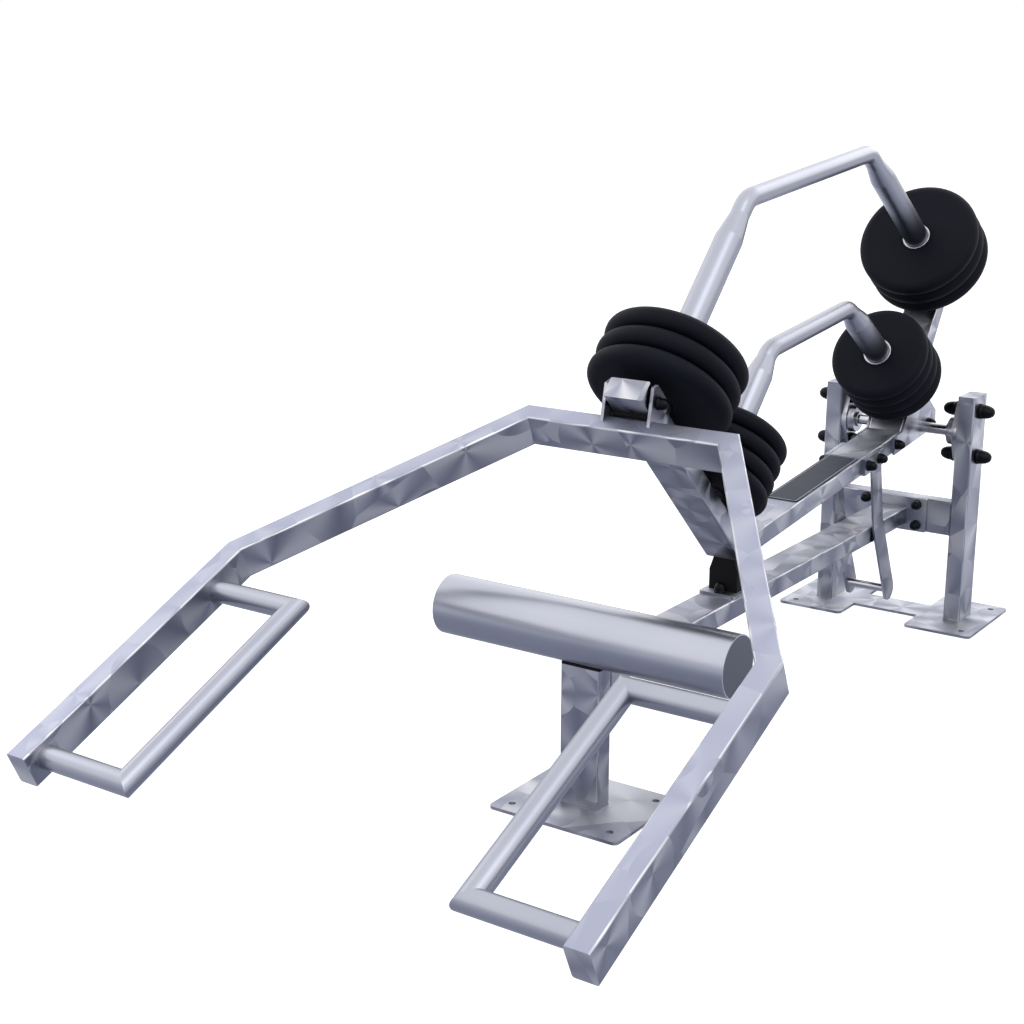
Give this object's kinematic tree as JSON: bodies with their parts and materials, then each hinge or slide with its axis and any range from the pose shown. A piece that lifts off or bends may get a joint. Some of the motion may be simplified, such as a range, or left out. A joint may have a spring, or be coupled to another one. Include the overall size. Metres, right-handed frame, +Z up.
{
  "type": "deadlift station",
  "caption": "Outdoor strength machine: a floor-anchored stand carries a pivoting lever with arched tubes for sliding rubber discs and a hinged walk-in yoke with hand loops.",
  "frame": {"origin": "on the ground under the axle, at the middle of the rear base plate and of its anchor holes", "axes": "+X to the user's side that faces the camera's right, square to the floor beam and along the axle; +Y to the rear along the floor beam; +Z up"},
  "size_m": [1.058, 2.3993, 1.1072],
  "materials": {
    "tube_steel": "flat-sided stainless tube and plate with overlapping round brushing marks",
    "round_steel": "satin stainless round tube, brushed along its length",
    "bolt_steel": "plain stainless",
    "black_plastic": "satin black moulded",
    "black_rubber": "matt black",
    "disc_rubber": "matt black, smooth moulded",
    "badge_metal": "smooth dark blue-grey, bare"
  },
  "bodies": {
    "stand": {"rear_base_plate": "tube_steel", "left_rear_post": "tube_steel", "right_rear_post": "tube_steel", "rear_crossbar": "tube_steel", "beam_flange": "tube_steel", "floor_beam": "tube_steel", "front_post": "tube_steel", "front_base_plate": "tube_steel", "foot_tube": "round_steel", "foot_tube_saddle": "black_rubber", "stop_plate": "tube_steel", "stop_block": "black_rubber", "guide_pads": "black_plastic", "left_bearing": "tube_steel", "right_bearing": "tube_steel", "stand_bolts": "bolt_steel", "stand_caps": "black_plastic"},
    "lever": {"lever_beam": "tube_steel", "front_strut": "tube_steel", "rear_strut": "tube_steel", "left_side_plate": "tube_steel", "right_side_plate": "tube_steel", "axle": "round_steel", "bearing_rings": "round_steel", "upper_arch": "round_steel", "lower_arch": "round_steel", "arch_collars": "tube_steel", "info_plate": "badge_metal", "left_stirrup_bar": "tube_steel", "right_stirrup_bar": "tube_steel", "stirrup_rod": "round_steel", "stirrup_spacers": "tube_steel", "lever_bolts": "bolt_steel", "lever_caps": "black_plastic", "yoke_pad": "black_rubber"},
    "yoke": {"yoke_crossbar": "tube_steel", "left_yoke_diagonal": "tube_steel", "right_yoke_diagonal": "tube_steel", "left_yoke_leg": "tube_steel", "right_yoke_leg": "tube_steel", "yoke_ears": "tube_steel", "left_handle": "round_steel", "right_handle": "round_steel", "hinge_bolt": "bolt_steel", "hinge_cap": "black_plastic", "hinge_washers": "black_plastic"},
    "upper_front_disc_1": {"upper_front_disc_1": "disc_rubber"},
    "upper_front_disc_2": {"upper_front_disc_2": "disc_rubber"},
    "upper_front_disc_3": {"upper_front_disc_3": "disc_rubber"},
    "upper_rear_disc_1": {"upper_rear_disc_1": "disc_rubber"},
    "upper_rear_disc_2": {"upper_rear_disc_2": "disc_rubber"},
    "upper_rear_disc_3": {"upper_rear_disc_3": "disc_rubber"},
    "lower_front_disc_1": {"lower_front_disc_1": "disc_rubber"},
    "lower_front_disc_2": {"lower_front_disc_2": "disc_rubber"},
    "lower_front_disc_3": {"lower_front_disc_3": "disc_rubber"},
    "lower_front_disc_4": {"lower_front_disc_4": "disc_rubber"},
    "lower_rear_disc_1": {"lower_rear_disc_1": "disc_rubber"},
    "lower_rear_disc_2": {"lower_rear_disc_2": "disc_rubber"},
    "lower_rear_disc_3": {"lower_rear_disc_3": "disc_rubber"},
    "lower_rear_disc_4": {"lower_rear_disc_4": "disc_rubber"}
  },
  "joints": [
    {"name": "lever_lift", "type": "hinge", "parent": "stand", "child": "lever", "pos_m": [0, 0, 0.451], "axis": [-1, 0, 0], "range_deg": [0, 27.3]},
    {"name": "yoke_fold", "type": "hinge", "parent": "lever", "child": "yoke", "pos_m": [0, -1.24701, 0.71098], "axis": [-1, 0, 0], "range_deg": [0, 60]},
    {"name": "upper_front_disc_3_slide", "type": "slide", "parent": "lever", "child": "upper_front_disc_3", "axis": [0, 0.6947, 0.7193], "range_m": [0, 0.08]},
    {"name": "upper_front_disc_2_slide", "type": "slide", "parent": "upper_front_disc_3", "child": "upper_front_disc_2", "axis": [0, 0.6947, 0.7193], "range_m": [0, 0.08]},
    {"name": "upper_front_disc_1_slide", "type": "slide", "parent": "upper_front_disc_2", "child": "upper_front_disc_1", "axis": [0, 0.6947, 0.7193], "range_m": [0, 0.08]},
    {"name": "upper_rear_disc_3_slide", "type": "slide", "parent": "lever", "child": "upper_rear_disc_3", "axis": [0, -0.829, 0.5592], "range_m": [0, 0.08]},
    {"name": "upper_rear_disc_2_slide", "type": "slide", "parent": "upper_rear_disc_3", "child": "upper_rear_disc_2", "axis": [0, -0.829, 0.5592], "range_m": [0, 0.08]},
    {"name": "upper_rear_disc_1_slide", "type": "slide", "parent": "upper_rear_disc_2", "child": "upper_rear_disc_1", "axis": [0, -0.829, 0.5592], "range_m": [0, 0.08]},
    {"name": "lower_front_disc_4_slide", "type": "slide", "parent": "lever", "child": "lower_front_disc_4", "axis": [0, 0.6947, 0.7193], "range_m": [0, 0.032]},
    {"name": "lower_front_disc_3_slide", "type": "slide", "parent": "lower_front_disc_4", "child": "lower_front_disc_3", "axis": [0, 0.6947, 0.7193], "range_m": [0, 0.032]},
    {"name": "lower_front_disc_2_slide", "type": "slide", "parent": "lower_front_disc_3", "child": "lower_front_disc_2", "axis": [0, 0.6947, 0.7193], "range_m": [0, 0.032]},
    {"name": "lower_front_disc_1_slide", "type": "slide", "parent": "lower_front_disc_2", "child": "lower_front_disc_1", "axis": [0, 0.6947, 0.7193], "range_m": [0, 0.032]},
    {"name": "lower_rear_disc_4_slide", "type": "slide", "parent": "lever", "child": "lower_rear_disc_4", "axis": [0, -0.829, 0.5592], "range_m": [0, 0.032]},
    {"name": "lower_rear_disc_3_slide", "type": "slide", "parent": "lower_rear_disc_4", "child": "lower_rear_disc_3", "axis": [0, -0.829, 0.5592], "range_m": [0, 0.032]},
    {"name": "lower_rear_disc_2_slide", "type": "slide", "parent": "lower_rear_disc_3", "child": "lower_rear_disc_2", "axis": [0, -0.829, 0.5592], "range_m": [0, 0.032]},
    {"name": "lower_rear_disc_1_slide", "type": "slide", "parent": "lower_rear_disc_2", "child": "lower_rear_disc_1", "axis": [0, -0.829, 0.5592], "range_m": [0, 0.032]}
  ]
}
